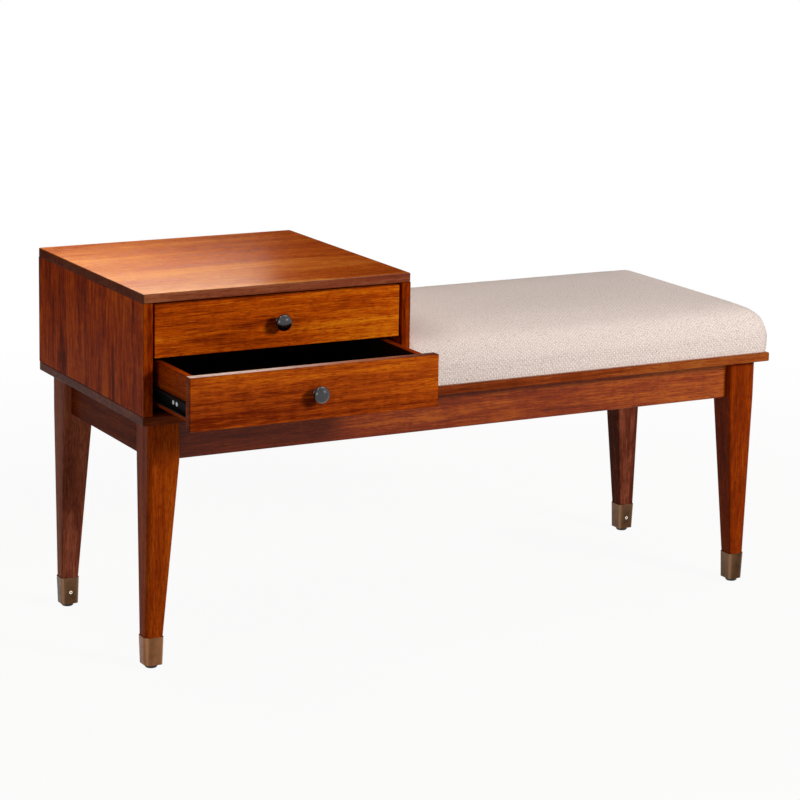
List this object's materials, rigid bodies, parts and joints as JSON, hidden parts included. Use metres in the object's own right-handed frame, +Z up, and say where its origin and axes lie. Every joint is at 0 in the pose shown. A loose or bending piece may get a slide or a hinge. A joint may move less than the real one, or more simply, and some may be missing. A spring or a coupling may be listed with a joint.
{
  "type": "storage bench",
  "caption": "Telephone bench with an upholstered seat beside a case of drawers, on tapered legs.",
  "frame": {"origin": "on the floor under the middle of the bench, with the lower drawer standing open", "axes": "+X along the bench towards the seat's end, +Y towards the back, +Z up"},
  "size_m": [1.169, 0.593, 0.605],
  "materials": {
    "stained_board": "satin lacquer",
    "stained_leg": "satin lacquer",
    "stained_panel": "satin lacquer",
    "drawer_box_wood": "matt stain",
    "plain_wood": "bare",
    "linen": "basket weave",
    "foam": "foam",
    "dark_gunmetal": "satin",
    "black_steel": "satin",
    "bright_steel": "zinc",
    "aged_brass": "aged",
    "black_plastic": "matt"
  },
  "bodies": {
    "bench": {"deck_board": "stained_board", "case_top": "stained_board", "case_side_left": "stained_panel", "case_side_right": "stained_panel", "case_back": "drawer_box_wood", "case_dowels": "plain_wood", "apron_front": "stained_panel", "apron_rear": "stained_panel", "apron_left": "stained_panel", "apron_right": "stained_panel", "apron_dowels": "plain_wood", "cross_rail": "plain_wood", "corner_blocks": "plain_wood", "block_screws": "bright_steel", "leg_bolts": "bright_steel", "leg_nuts": "bright_steel", "leg_front_left": "stained_leg", "leg_front_right": "stained_leg", "leg_rear_left": "stained_leg", "leg_rear_right": "stained_leg", "ferrule_front_left": "aged_brass", "ferrule_front_right": "aged_brass", "ferrule_rear_left": "aged_brass", "ferrule_rear_right": "aged_brass", "ferrule_pins": "bright_steel", "glides": "black_plastic", "seat_board": "plain_wood", "seat_foam": "foam", "seat_cover": "linen", "seat_screws": "bright_steel", "upper_case_rail_left": "black_steel", "upper_case_rail_right": "black_steel", "lower_case_rail_left": "black_steel", "lower_case_rail_right": "black_steel", "case_rail_screws": "bright_steel"},
    "upper_drawer": {"upper_drawer_front": "stained_board", "upper_drawer_side_left": "drawer_box_wood", "upper_drawer_side_right": "drawer_box_wood", "upper_drawer_back": "drawer_box_wood", "upper_drawer_bottom": "drawer_box_wood", "upper_knob": "dark_gunmetal", "upper_knob_screw": "bright_steel", "upper_drawer_rail_left": "black_steel", "upper_drawer_rail_right": "black_steel", "upper_drawer_rail_screws": "bright_steel"},
    "lower_drawer": {"lower_drawer_front": "stained_board", "lower_drawer_side_left": "drawer_box_wood", "lower_drawer_side_right": "drawer_box_wood", "lower_drawer_back": "drawer_box_wood", "lower_drawer_bottom": "drawer_box_wood", "lower_knob": "dark_gunmetal", "lower_knob_screw": "bright_steel", "lower_drawer_rail_left": "black_steel", "lower_drawer_rail_right": "black_steel", "lower_drawer_rail_screws": "bright_steel"},
    "upper_cage_set": {"upper_ball_cages": "bright_steel", "upper_balls": "bright_steel"},
    "lower_cage_set": {"lower_ball_cages": "bright_steel", "lower_balls": "bright_steel"}
  },
  "joints": [
    {"name": "upper_drawer_slide", "type": "slide", "parent": "bench", "child": "upper_drawer", "axis": [0, -1, 0], "range_m": [0, 0.26]},
    {"name": "lower_drawer_slide", "type": "slide", "parent": "bench", "child": "lower_drawer", "axis": [0, -1, 0], "range_m": [-0.132, 0.128]},
    {"name": "upper_cage_slide", "type": "slide", "parent": "bench", "child": "upper_cage_set", "axis": [0, -1, 0], "range_m": [0, 0.13]},
    {"name": "lower_cage_slide", "type": "slide", "parent": "bench", "child": "lower_cage_set", "axis": [0, -1, 0], "range_m": [-0.066, 0.064]}
  ],
  "couplings": [
    {"joint": "upper_cage_slide", "follows": "upper_drawer_slide", "ratio": 0.5},
    {"joint": "lower_cage_slide", "follows": "lower_drawer_slide", "ratio": 0.5}
  ]
}
